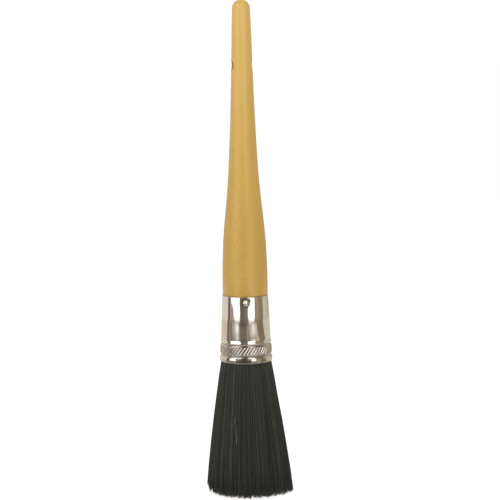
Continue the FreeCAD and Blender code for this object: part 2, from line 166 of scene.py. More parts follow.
# ------------------------------------------------------------------ node helpers
class Mat:
    """A small builder for one Principled material."""

    def __init__(self, name, **sockets):
        self.mat = bpy.data.materials.new(name)
        self.mat.use_nodes = True
        self.nt = self.mat.node_tree
        self.bsdf = next(n for n in self.nt.nodes if n.type == "BSDF_PRINCIPLED")
        for key, value in sockets.items():
            self.bsdf.inputs[key.replace("_", " ")].default_value = value

    def add(self, kind, inputs=None, **props):
        n = self.nt.nodes.new(kind)
        for k, v in props.items():
            setattr(n, k, v)
        for k, v in (inputs or {}).items():
            if isinstance(v, bpy.types.NodeSocket):
                self.nt.links.new(v, n.inputs[k])
            else:
                n.inputs[k].default_value = v
        return n

    def coords(self, scale=(1, 1, 1), move=(0, 0, 0), turn=(0, 0, 0)):
        tc = self.add("ShaderNodeTexCoord")
        mp = self.add("ShaderNodeMapping", {"Vector": tc.outputs["Object"], "Location": move, "Rotation": turn, "Scale": scale})
        return mp.outputs["Vector"]

    def noise(self, vector, scale=1.0, detail=2.0, rough=0.5, distortion=0.0):
        n = self.add(
            "ShaderNodeTexNoise",
            {"Vector": vector, "Scale": scale, "Detail": detail, "Roughness": rough, "Distortion": distortion},
        )
        return n.outputs["Fac"]

    def ramp(self, fac, stops, interpolation="LINEAR"):
        n = self.add("ShaderNodeValToRGB", {"Fac": fac})
        cr = n.color_ramp
        cr.interpolation = interpolation
        while len(cr.elements) > 1:
            cr.elements.remove(cr.elements[-1])
        cr.elements[0].position = stops[0][0]
        cr.elements[0].color = tuple(stops[0][1]) + (1.0,)
        for pos, col in stops[1:]:
            e = cr.elements.new(pos)
            e.color = tuple(col) + (1.0,)
        return n.outputs["Color"]

    def remap(self, value, lo, hi, to_lo, to_hi):
        n = self.add(
            "ShaderNodeMapRange",
            {"Value": value, "From Min": lo, "From Max": hi, "To Min": to_lo, "To Max": to_hi},
        )
        return n.outputs["Result"]

    def mix(self, fac, a, b, blend="MIX"):
        n = self.nt.nodes.new("ShaderNodeMix")
        n.data_type = "RGBA"
        n.blend_type = blend
        for key, v in ((0, fac), (6, a), (7, b)):
            if isinstance(v, bpy.types.NodeSocket):
                self.nt.links.new(v, n.inputs[key])
            else:
                n.inputs[key].default_value = (tuple(v) + (1.0,)) if key > 0 else v
        return n.outputs[2]

    def math(self, op, a, b=None, c=None):
        n = self.nt.nodes.new("ShaderNodeMath")
        n.operation = op
        for i, v in enumerate((a, b, c)):
            if v is None:
                continue
            if isinstance(v, bpy.types.NodeSocket):
                self.nt.links.new(v, n.inputs[i])
            else:
                n.inputs[i].default_value = v
        return n.outputs[0]

    def bump(self, height, strength, distance, normal=None):
        n = self.add("ShaderNodeBump", {"Height": height, "Strength": strength, "Distance": distance})
        if normal is not None:
            self.nt.links.new(normal, n.inputs["Normal"])
        return n.outputs["Normal"]

    def to(self, socket, value):
        self.nt.links.new(value, self.bsdf.inputs[socket])


def lin(r, g, b):
    """Linear colour from 0-255 display values."""
    out = []
    for v in (r, g, b):
        v = v / 255.0
        out.append(v / 12.92 if v <= 0.04045 else ((v + 0.055) / 1.055) ** 2.4)
    return tuple(out)


# ------------------------------------------------------------------ materials
def wood_material(name, deep=False):
    m = Mat(name, Metallic=0.0, IOR=1.45)
    # growth figure: long, lazy bands that wander along the handle
    broad = m.noise(m.coords((120, 95, 6.0), (3.1, 1.7, 0.4)), 1.0, 3.0, 0.5, 0.4)
    # fine fibres and short darker pores, stretched along the handle
    fibre = m.noise(m.coords((2600, 2600, 90), (0.3, 0.9, 0.1)), 1.0, 4.0, 0.62)
    pores = m.noise(m.coords((2300, 2300, 260), (7.0, 2.0, 5.0)), 1.0, 2.0, 0.5)
    mottle = m.noise(m.coords((1250, 1250, 800), (1.0, 4.0, 2.0)), 1.0, 3.0, 0.65)
    rays = m.noise(m.coords((900, 900, 170), (4.0, 3.0, 8.0)), 1.0, 2.0, 0.5)
    # the hang hole's wall: a deeper wood tone under pooled lacquer, with painted shade inside the hole
    if deep:
        base = [lin(182, 116, 38), lin(191, 125, 44), lin(199, 134, 52)]
        dark, pale = lin(156, 94, 28), lin(208, 148, 66)
    else:
        base = [lin(173, 136, 56), lin(178, 142, 61), lin(183, 148, 67)]
        dark, pale = lin(158, 121, 45), lin(198, 165, 84)
    colour = m.ramp(broad, [(0.32, base[0]), (0.50, base[1]), (0.68, base[2])])
    # painted light: the wood is painted paler towards the hanging end and darker towards the ferrule, standing in for
    # light that falls off down the handle
    height = m.add("ShaderNodeSeparateXYZ", {"Vector": m.coords()}).outputs["Z"]
    colour = m.mix(m.remap(height, 0.14, 0.27, 0.0, 0.52), colour, lin(216, 180, 112))
    colour = m.mix(m.remap(height, 0.175, 0.11, 0.0, 0.40), colour, lin(168, 130, 72))
    colour = m.mix(m.remap(fibre, 0.36, 0.66, 0.0, 0.15), colour, dark)
    colour = m.mix(m.remap(mottle, 0.42, 0.62, 0.0, 0.30), colour, pale)
    colour = m.mix(m.remap(rays, 0.52, 0.70, 0.0, 0.10), colour, dark)
    speck = m.ramp(pores, [(0.0, (1, 1, 1)), (0.25, (1, 1, 1)), (0.31, (0, 0, 0))])
    colour = m.mix(m.math("MULTIPLY", speck, 0.32), colour, lin(146, 102, 48))
    # painted shade: a dark line in the wood against the rim, standing in for the shadow in the gap at the ferrule's
    # edge
    rim_shade = m.remap(height, (RIM_Z + 0.25) * MM, (RIM_Z + 0.75) * MM, 0.62, 0.0)
    colour = m.mix(m.math("MULTIPLY", rim_shade, m.remap(mottle, 0.35, 0.6, 1.0, 0.7)), colour, lin(84, 64, 34))
    m.to("Base Color", colour)
    wear = m.noise(m.coords((420, 420, 160)), 1.0, 3.0, 0.55)
    lo, hi = (0.55, 0.7) if deep else (0.27, 0.38)
    gloss = m.remap(wear, 0.3, 0.7, lo, hi)
    if not deep:
        # thicker, glossier lacquer near the ferrule
        gloss = m.math("MULTIPLY", gloss, m.remap(height, 0.113, 0.123, 0.34, 1.0))
        m.to("Specular IOR Level", m.remap(height, 0.1125, 0.1215, 1.0, 0.5))
    m.to("Roughness", gloss)
    # the lacquer has sunk a little into the fibres, over faint lathe rings
    rings = m.add(
        "ShaderNodeTexWave",
        {"Vector": m.coords(), "Scale": 420.0, "Distortion": 2.5, "Detail": 2.0, "Detail Scale": 1.5},
        wave_type="BANDS",
        bands_direction="Z",
    ).outputs["Fac"]
    n1 = m.bump(fibre, 0.14, 0.00005)
    n2 = m.bump(rings, 0.04, 0.00004, n1)
    n3 = m.bump(mottle, 0.06, 0.00006, n2)
    m.to("Normal", n3)
    if deep:
        m.bsdf.inputs["Specular IOR Level"].default_value = 0.25
    return m.mat


def end_grain_material():
    m = Mat("pale_end_grain", IOR=1.5)
    tc = m.coords((1, 1, 1))
    rings = m.add("ShaderNodeTexWave", {"Vector": tc, "Scale": 900.0, "Distortion": 3.0, "Detail": 2.0}, wave_type="RINGS", rings_direction="Z").outputs["Fac"]
    m.to("Base Color", m.mix(m.remap(rings, 0.2, 0.8, 0.0, 0.45), lin(226, 196, 134), lin(206, 170, 104)))
    m.to("Roughness", m.remap(m.noise(m.coords((3000, 3000, 3000))), 0.3, 0.7, 0.45, 0.65))
    m.to("Normal", m.bump(rings, 0.15, 0.00005))
    return m.mat


def plated_material(name, base, dark, rough_lo, rough_hi, scuff=0.35, grime_and_shade_on=False):
    m = Mat(name, Metallic=1.0)
    cloud = m.noise(m.coords((120, 120, 90), (2.0, 5.0, 1.0)), 1.0, 3.0, 0.55)
    speck = m.noise(m.coords((1500, 1500, 1500), (4.0, 1.0, 8.0)), 1.0, 2.0, 0.5)
    colour = m.mix(m.remap(cloud, 0.40, 0.70, 0.0, 0.55), base, dark)
    pits = m.ramp(speck, [(0.0, (1, 1, 1)), (0.24, (1, 1, 1)), (0.29, (0, 0, 0))])
    colour = m.mix(m.math("MULTIPLY", pits, scuff), colour, [c * 0.45 for c in dark])
    if grime_and_shade_on:
        # dirt in the rolled grooves and between the ribs, with painted shade round the nails and painted dark
        # reflections on the side facing the camera; the mouth edge and the sleeve's inside are darkened too
        dirt_and_shade = m.add("ShaderNodeAttribute", attribute_name="grime_and_shade").outputs["Fac"]
        patchy = m.noise(m.coords((900, 900, 900), (5.0, 3.0, 1.0)), 1.0, 3.0, 0.6)
        dirt_and_shade = m.math("MULTIPLY", dirt_and_shade, m.remap(patchy, 0.30, 0.70, 0.65, 1.15))
        colour = m.mix(m.math("MINIMUM", dirt_and_shade, 1.0), colour, (0.155, 0.132, 0.108))
    m.to("Base Color", colour)
    # drawn sheet: hair-fine polishing lines round the sleeve
    lines = m.noise(m.coords((160, 160, 5200), (0.0, 0.0, 3.0)), 1.0, 3.0, 0.6)
    scratch = m.noise(m.coords((3800, 3800, 140), (1.0, 2.0, 0.0), (0.0, 0.25, 0.0)), 1.0, 2.0, 0.5)
    r = m.remap(cloud, 0.3, 0.7, rough_lo, rough_hi)
    r = m.math("ADD", r, m.remap(scratch, 0.58, 0.75, 0.0, 0.08))
    if grime_and_shade_on:
        r = m.math("ADD", r, m.math("MULTIPLY", dirt_and_shade, 0.22))
    m.to("Roughness", r)
    n1 = m.bump(lines, 0.012, 0.00002)
    n2 = m.bump(scratch, 0.02, 0.00002, n1)
    m.to("Normal", n2)
    return m.mat


# painted highlights on single bristles: shade level, place across the front of the tuft, start and end along the
# bristle, and how pale
PAINTED_GLINTS = [
    (84, -0.445, 0.380, 0.445, 0.30),
    (85, -0.368, 0.445, 0.500, 0.85),
    (86, -0.467, 0.485, 0.540, 0.40),
    (87, -0.345, 0.515, 0.575, 0.85),
    (88, -0.322, 0.555, 0.635, 0.75),
    (89, 0.340, 0.600, 0.675, 0.25),
    (90, 0.740, 0.480, 0.520, 0.45),
    (91, 0.700, 0.330, 0.375, 0.25),
]


def bristle_material(name):
    m = Mat(name, IOR=1.5)
    shade = m.add("ShaderNodeAttribute", attribute_name="hair_shade").outputs["Fac"]
    along = m.add("ShaderNodeAttribute", attribute_name="hair_along").outputs["Fac"]
    body = m.ramp(
        shade,
        [
            (0.00, lin(48, 50, 44)),
            (0.45, lin(60, 62, 55)),
            (0.86, lin(76, 77, 67)),
            (1.00, lin(84, 83, 70)),
        ],
    )
    # the light reaches the open end of the tuft more freely
    colour = m.mix(m.remap(along, 0.30, 1.0, 0.0, 0.05), body, lin(92, 93, 82))
    # bristles painted pale over a short length, each in its own place: painted highlights
    for level, _, lo, hi, amount in PAINTED_GLINTS:
        here = m.math("COMPARE", shade, level / 95.0, 0.004)
        window = m.ramp(along, [(0.0, (0, 0, 0)), (lo, (0, 0, 0)), (lo + 0.012, (1, 1, 1)), (hi - 0.012, (1, 1, 1)), (hi, (0, 0, 0))])
        colour = m.mix(m.math("MULTIPLY", m.math("MULTIPLY", here, window), amount), colour, lin(172, 170, 156))
    # and a few tan in longer stretches
    whole = m.remap(shade, 0.992, 0.998, 0.0, 1.0)
    stretch = m.noise(m.coords((160, 160, 75), (3.0, 8.0, 2.0)), 1.0, 1.0, 0.5)
    colour = m.mix(m.math("MULTIPLY", whole, m.remap(stretch, 0.44, 0.60, 0.0, 0.9)), colour, lin(172, 146, 92))
    tip = m.ramp(along, [(0.0, (0, 0, 0)), (0.975, (0, 0, 0)), (1.0, (1, 1, 1))])
    warm = m.ramp(shade, [(0.0, lin(60, 55, 43)), (0.5, lin(88, 77, 55)), (0.86, lin(140, 116, 74)), (1.0, lin(190, 160, 100))])
    m.to("Base Color", m.mix(m.math("MULTIPLY", tip, 0.7), colour, warm))
    # each bristle is a little uneven along its length
    scale = m.noise(m.coords((2500, 2500, 900)), 1.0, 2.0, 0.5)
    m.to("Roughness", m.remap(scale, 0.3, 0.7, 0.42, 0.60))
    m.to("Normal", m.bump(scale, 0.10, 0.00003))
    m.bsdf.inputs["Specular IOR Level"].default_value = 0.22
    return m.mat


def resin_material():
    m = Mat("amber_resin", IOR=1.55)
    n = m.noise(m.coords((500, 500, 300)), 1.0, 3.0, 0.5)
    m.to("Base Color", m.ramp(n, [(0.3, lin(110, 72, 30)), (0.7, lin(168, 122, 58))]))
    m.to("Roughness", m.remap(n, 0.3, 0.7, 0.2, 0.35))
    m.to("Normal", m.bump(n, 0.2, 0.0002))
    return m.mat


WOOD = wood_material("lacquered_wood")
HOLE_WOOD = wood_material("hole_wood", True)
END_GRAIN = end_grain_material()
NICKEL = plated_material("nickel_plate", (0.80, 0.755, 0.69), (0.73, 0.675, 0.605), 0.02, 0.045, 0.2, True)
NAIL_METAL = plated_material("nail_plate", (0.78, 0.735, 0.67), (0.60, 0.55, 0.48), 0.08, 0.16, 0.5)
BRISTLE = bristle_material("dark_bristle")
RESIN = resin_material()

# ------------------------------------------------------------------ handle
HANDLE_POLES = [
    (12.34, 25.0), (12.34, 33.3), (12.01, 49.8), (8.79, 74.7), (7.41, 99.5),
    (6.36, 124.3), (5.63, 149.2), (5.21, 165.7), (4.9, 174.0),
]
_curve = spline(HANDLE_POLES)
_dome_rise, _dome_foot = 178.8 - 174.0, 4.9
_dome_r = (_dome_rise ** 2 + _dome_foot ** 2) / (2 * _dome_rise)


def handle_r(z):
    """Radius of the turned handle at height z of the brush."""
    zl = np.asarray(z, float) - SPIGOT_Z
    r = np.interp(zl, _curve[:, 1], _curve[:, 0])
    r = np.where(zl < 25.0, 12.34, r)
    # the wood stands a touch proud of the hole it was driven into
    zb = zl + SPIGOT_Z
    r = r + 0.12 * smooth((zb - RIM_Z - 0.1) / 0.8) * (1 - smooth((zb - RIM_Z - 6.0) / 16.0))
    zc = 178.8 - _dome_r
    dome = np.sqrt(np.maximum(_dome_r ** 2 - (zl - zc) ** 2, 0.0))
    return np.where(zl > 174.0, dome, r)


def make_handle():
    cols, half = 96, 11
    step = TAU / cols
    window = 3.9
    rows_in = np.linspace(HOLE_Z - window, HOLE_Z + window, 2 * half + 1)
    low = np.concatenate([[SPIGOT_Z + 0.8], np.arange(SPIGOT_Z + 2.0, RIM_Z - 2, 3.0), np.linspace(RIM_Z - 1.5, HOLE_Z - window, 176)[:-1]])
    high = np.linspace(HOLE_Z + window, SPIGOT_Z + 174.0, 40)[1:]
    # dome rings, evenly spaced by angle, up to the small stub left where it was parted off
    a0 = math.asin((174.0 - (178.8 - _dome_r)) / _dome_r)
    ang = np.linspace(a0, math.acos(1.15 / _dome_r), 22)[1:]
    dome_z = SPIGOT_Z + (178.8 - _dome_r) + _dome_r * np.sin(ang)
    dome_rad = _dome_r * np.cos(ang)
    zs = np.concatenate([low, rows_in, high, dome_z])
    rs = np.concatenate([handle_r(np.concatenate([low, rows_in, high])), dome_rad])
    theta = math.pi / 2 + np.arange(cols) * step  # column 0 at the back
    # a hand-finished turning is never quite round or quite straight
    g = rng(11)
    wob = np.zeros((len(zs), cols))
    for k in range(1, 6):
        ph, fz, am = g.uniform(0, TAU), g.uniform(0.02, 0.09), 0.035 / k
        wob += am * np.sin(k * theta[None, :] + ph + fz * zs[:, None] * 2) * np.sin(fz * zs[:, None] + ph)
    fade = smooth((zs - RIM_Z) / 12.0) * smooth((TOP_Z - zs) / 6.0) * (1 - np.exp(-((zs - HOLE_Z) / 7.0) ** 2))
    rad = rs[:, None] + wob * fade[:, None]
    grid = np.stack([rad * np.cos(theta), rad * np.sin(theta), np.broadcast_to(zs[:, None], rad.shape)], -1)
    rows = len(zs)
    verts = [grid.reshape(-1, 3)]
    count = rows * cols
    r_lo = len(low)
    v_of = 0.02 + 0.86 * (zs - zs[0]) / (zs[-1] - zs[0])
    quads = grid_faces(rows, cols).reshape(rows - 1, cols, 4)
    uv = grid_uv(rows, cols, v_of).reshape(rows - 1, cols, 4, 2)
    keep = np.ones((rows - 1, cols), bool)
    faces, uvs, slots = [], [], []
    mids = {}
    for side in (1, -1):
        # columns centred on +X or -X
        centre = int(round(((0.0 if side > 0 else math.pi) - math.pi / 2) / step)) % cols
        cs = [(centre + k) % cols for k in range(-half, half + 1)]
        for r in range(r_lo, r_lo + 2 * half):
            for k in range(2 * half):
                keep[r, cs[k]] = False
        r_hi = r_lo + 2 * half
        ring = (
            [(r_lo, c) for c in cs[:-1]]
            + [(r, cs[-1]) for r in range(r_lo, r_hi)]
            + [(r_hi, c) for c in cs[:0:-1]]
            + [(r, cs[0]) for r in range(r_hi, r_lo, -1)]
        )
        idx = np.array([r * cols + c for r, c in ring])
        pts = grid.reshape(-1, 3)[idx]
        yy, zz = pts[:, 1], pts[:, 2] - HOLE_Z
        alpha = np.arctan2(zz, yy)
        rim_rho = HOLE_R + HOLE_EDGE
        layers = []
        for t in np.linspace(0, 1, 7)[1:]:
            y = yy * (1 - t) + rim_rho * np.cos(alpha) * t
            z = zz * (1 - t) + rim_rho * np.sin(alpha) * t
            layers.append((y, z, np.zeros_like(y)))
        for tau in np.linspace(0, math.pi / 2, 7)[1:]:
            rho = HOLE_R + HOLE_EDGE * (1 - math.sin(tau))
            layers.append((rho * np.cos(alpha), rho * np.sin(alpha), np.full_like(alpha, HOLE_EDGE * (1 - math.cos(tau)))))
        n_surface = 6
        rings_idx = [idx]
        for y, z, drop in layers:
            rr = handle_r(HOLE_Z + z)
            x = np.sqrt(rr ** 2 - y ** 2) - drop
            verts.append(np.stack([side * x, y, HOLE_Z + z], -1))
            rings_idx.append(count + np.arange(len(alpha)))
            count += len(alpha)
        last_x = np.abs(verts[-1][:, 0])
        for f in (0.66, 0.33):
            verts.append(np.stack([side * last_x * f, HOLE_R * np.cos(alpha), HOLE_Z + HOLE_R * np.sin(alpha)], -1))
            rings_idx.append(count + np.arange(len(alpha)))
            count += len(alpha)
        if side > 0:
            order = np.argsort(alpha)
            verts.append(np.stack([np.zeros(len(alpha)), HOLE_R * np.cos(alpha), HOLE_Z + HOLE_R * np.sin(alpha)], -1))
            mid = count + np.arange(len(alpha))
            count += len(alpha)
            mids["alpha"], mids["idx"] = alpha[order], mid[order]
            rings_idx.append(mid)
        else:
            near = np.array([int(np.argmin(np.abs(np.angle(np.exp(1j * (mids["alpha"] - a)))))) for a in alpha])
            rings_idx.append(mids["idx"][near])
        allv = np.concatenate(verts)
        for k in range(len(rings_idx) - 1):
            a, b = rings_idx[k], rings_idx[k + 1]
            a2, b2 = np.roll(a, -1), np.roll(b, -1)
            q = np.stack([a, a2, b2, b], -1)
            faces.append(q)
            on_wall = k >= n_surface + 1
            slots.append(1 if on_wall else 0)
            if k < n_surface + 2:
                p = allv[q]
                th = np.mod(np.arctan2(p[..., 1], p[..., 0]) - math.pi / 2, TAU) / TAU
                vv = 0.02 + 0.86 * (p[..., 2] - zs[0]) / (zs[-1] - zs[0])
                uvs.append(np.stack([th, vv], -1))
            else:
                n = len(a)
                u0, u1 = np.arange(n) / n * 0.48, (np.arange(n) + 1) / n * 0.48
                if side < 0:
                    u0, u1 = u0 + 0.5, u1 + 0.5
                va, vb = 0.90 + 0.012 * (k - n_surface), 0.90 + 0.012 * (k + 1 - n_surface)
                uvs.append(np.stack([np.stack([u0, np.full(n, va)], -1), np.stack([u1, np.full(n, va)], -1),
                                     np.stack([u1, np.full(n, vb)], -1), np.stack([u0, np.full(n, vb)], -1)], -2))
    faces.insert(0, quads[keep])
    uvs.insert(0, uv[keep])
    slots.insert(0, 0)
    # the parted-off stub: a small pale disc of end grain that stands a little proud
    stub = [(1.12, 0.02), (1.08, 0.14), (0.98, 0.20), (0.6, 0.24)]
    prev = (rows - 1) * cols + np.arange(cols)
    z_end = zs[-1]
    for k, (sr, dz) in enumerate(stub):
        verts.append(np.stack([sr * np.cos(theta), sr * np.sin(theta), np.full(cols, z_end + dz)], -1))
        cur = count + np.arange(cols)
        count += cols
        q = np.stack([prev, np.roll(prev, -1), np.roll(cur, -1), cur], -1)
        faces.append(q)
        slots.append(2 if k else 0)
        rad0 = ([1.15] + [s[0] for s in stub])[k] / 1.15 * 0.03
        rad1 = sr / 1.15 * 0.03
        c0, s0 = np.cos(theta), np.sin(theta)
        c1, s1 = np.roll(c0, -1), np.roll(s0, -1)
        uvs.append(np.stack([np.stack([0.25 + rad0 * c0, 0.95 + rad0 * s0], -1), np.stack([0.25 + rad0 * c1, 0.95 + rad0 * s1], -1),
                             np.stack([0.25 + rad1 * c1, 0.95 + rad1 * s1], -1), np.stack([0.25 + rad1 * c0, 0.95 + rad1 * s0], -1)], -2))
        prev = cur
    verts.append(np.array([[0, 0, z_end + 0.25], [0, 0, SPIGOT_Z]]))
    top, bottom = count, count + 1
    count += 2
    faces.append(np.stack([prev, np.roll(prev, -1), np.full(cols, top)], -1))
    slots.append(2)
    uvs.append(np.stack([np.stack([0.25 + 0.015 * np.cos(theta), 0.95 + 0.015 * np.sin(theta)], -1),
                         np.stack([0.25 + 0.015 * np.roll(np.cos(theta), -1), 0.95 + 0.015 * np.roll(np.sin(theta), -1)], -1),
                         np.broadcast_to(np.array([0.25, 0.95]), (cols, 2))], -2))
    # spigot end: chamfer and flat face, inside the ferrule
    cham = 12.34 - 0.8
    verts.append(np.stack([cham * np.cos(theta), cham * np.sin(theta), np.full(cols, SPIGOT_Z)], -1))
    ch = count + np.arange(cols)
    count += cols
    base = np.arange(cols)
    faces.append(np.stack([ch, np.roll(ch, -1), np.roll(base, -1), base], -1))
    slots.append(0)
    c0, s0 = np.cos(theta), np.sin(theta)
    c1, s1 = np.roll(c0, -1), np.roll(s0, -1)
    uvs.append(np.stack([np.stack([0.75 + 0.04 * c0, 0.95 + 0.04 * s0], -1), np.stack([0.75 + 0.04 * c1, 0.95 + 0.04 * s1], -1),
                         np.stack([0.75 + 0.045 * c1, 0.95 + 0.045 * s1], -1), np.stack([0.75 + 0.045 * c0, 0.95 + 0.045 * s0], -1)], -2))
    faces.append(np.stack([np.roll(ch, -1), ch, np.full(cols, bottom)], -1))
    slots.append(2)
    uvs.append(np.stack([np.stack([0.75 + 0.04 * c1, 0.95 + 0.04 * s1], -1), np.stack([0.75 + 0.04 * c0, 0.95 + 0.04 * s0], -1),
                         np.broadcast_to(np.array([0.75, 0.95]), (cols, 2))], -2))
    ob = build("handle_turned", np.concatenate(verts), faces, uvs, slots)
    for m in (WOOD, HOLE_WOOD, END_GRAIN):
        ob.data.materials.append(m)
    # every face outwards
    import bmesh

    bm = bmesh.new()
    bm.from_mesh(ob.data)
    bmesh.ops.recalc_face_normals(bm, faces=bm.faces)
    bm.to_mesh(ob.data)
    bm.free()
    return ob


handle_ob = make_handle()
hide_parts("handle")
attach(handle_ob, "root")

# ------------------------------------------------------------------ ferrule
LIP, GROOVE_1, BAND, GROOVE_2, BEAD = 3.4, 0.8, 5.4, 0.6, 1.6
Z_LIP = MOUTH_Z + LIP
Z_BAND0 = Z_LIP + GROOVE_1
Z_BAND1 = Z_BAND0 + BAND
Z_BEAD0 = Z_BAND1 + GROOVE_2
Z_BEAD1 = Z_BEAD0 + BEAD
RIBS = 48
SEAM = NAIL_ANGLES[0] + math.radians(137.0)


def ferrule_outer(theta, z):
    """Outside radius of the ferrule at each angle and height."""
    th, zz = np.meshgrid(theta, z)
    r = cone_r(zz).astype(float)
    # lip, grooves, band and bead
    lip = np.clip((zz - MOUTH_Z) / LIP, 0, 1)
    r += 0.30 * np.sin(math.pi * lip) ** 0.9 * (zz <= Z_LIP)
    r -= 0.26 * np.exp(-(((zz - (Z_LIP + GROOVE_1 / 2)) / 0.32) ** 2) ** 1.3)
    band = smooth((zz - Z_BAND0) / 0.35) * smooth((Z_BAND1 - zz) / 0.35)
    r += 0.10 * band
    r -= 0.22 * np.exp(-(((zz - (Z_BAND1 + GROOVE_2 / 2)) / 0.26) ** 2) ** 1.3)
    bead = np.clip((zz - Z_BEAD0) / BEAD, 0, 1)
    r += 0.26 * np.sin(math.pi * bead) ** 1.2
    # shallow step where the bead meets the plain cone
    r -= 0.05 * np.exp(-(((zz - (Z_BEAD1 + 0.35)) / 0.4) ** 2))
    # slanting ribs round the band, each a rounded ridge with tapering ends
    g = rng(5)
    lean = g.normal(0, 0.04, RIBS)
    tall = g.uniform(0.80, 1.12, RIBS)
    pitch = th * RIBS / TAU
    mid = (Z_BAND0 + Z_BAND1) / 2
    u = pitch - (zz - mid) / 2.85
    k = np.floor(u).astype(int) % RIBS
    f = (u - np.floor(u) - 0.5) + lean[k]
    body = np.exp(-((np.abs(f) / 0.19) ** 2.4))
    ends = smooth((zz - (Z_BAND0 + 0.45)) / 0.5) * smooth(((Z_BAND1 - 0.45) - zz) / 0.5)
    r += 0.25 * tall[k] * body * ends
    r -= 0.07 * ends * (1 - body)
    # dimples round the two nails
    for a in NAIL_ANGLES:
        da = np.angle(np.exp(1j * (th - a))) * RIM_R
        d = np.sqrt(da ** 2 + (zz - NAIL_Z) ** 2)
        r -= 0.20 * np.exp(-((d / 1.95) ** 2))
    # thin sheet never lies quite true
    g = rng(23)
    wave = np.zeros_like(r)
    for kk, am, fz in ((2, 0.035, 0.0030), (3, 0.030, 0.0045), (5, 0.026, 0.0050), (8, 0.015, 0.0075), (13, 0.005, 0.012)):
        ph, pz = g.uniform(0, TAU), g.uniform(0, TAU)
        wave += am * np.sin(kk * th + ph) * np.cos(TAU * fz * zz + pz)
    r += wave * (0.4 + 0.6 * smooth((zz - Z_BEAD1) / 3.0))
    # lapped seam at the back
    ds = np.angle(np.exp(1j * (th - SEAM))) * RIM_R
    lap = smooth((ds + 1.9) / 0.28) * (1 - smooth((ds - 1.5) / 1.6))
    r += 0.20 * lap
    # where the sleeve is darkened: some dirt in the grooves, with painted shade and painted dark reflections
    dirt_and_shade = 0.95 * np.exp(-(((zz - (Z_LIP + GROOVE_1 / 2)) / 0.55) ** 2))
    dirt_and_shade += 0.95 * np.exp(-(((zz - (Z_BAND1 + GROOVE_2 / 2)) / 0.50) ** 2))
    dirt_and_shade += 0.55 * np.exp(-(((zz - (Z_BEAD1 + 0.30)) / 0.35) ** 2))
    dirt_and_shade += 0.66 * band * (1 - body * ends)
    # painted reflection: the darkening is strongest on the side facing the camera
    toward = th - math.atan2(BACK[1], BACK[0])
    dirt_and_shade *= 0.52 + 0.48 * np.cos(toward) ** 4
    # painted reflection: a dark patch across the lip on the side facing the camera
    near = np.degrees(np.angle(np.exp(1j * toward)))
    dirt_and_shade += 1.35 * smooth((near + 25.0) / 4.0) * (1 - smooth((near - 9.5) / 4.0)) * smooth((zz - MOUTH_Z - 0.7) / 0.4) * smooth((Z_LIP - 0.3 - zz) / 0.4)
    dirt_and_shade += 0.45 * np.exp(-(((zz - MOUTH_Z) / 0.8) ** 2)) + 0.16 * (zz <= Z_LIP)
    # painted shade: a dark ring in the dimple round each nail
    for a in NAIL_ANGLES:
        da = np.angle(np.exp(1j * (th - a))) * RIM_R
        d = np.sqrt(da ** 2 + (zz - NAIL_Z) ** 2)
        dirt_and_shade += 1.3 * np.exp(-(((d - 1.95) / 0.30) ** 2))
    dirt_and_shade += 0.7 * np.exp(-(((ds + 1.95) / 0.22) ** 2))
    return r, np.clip(dirt_and_shade, 0, 1.5)


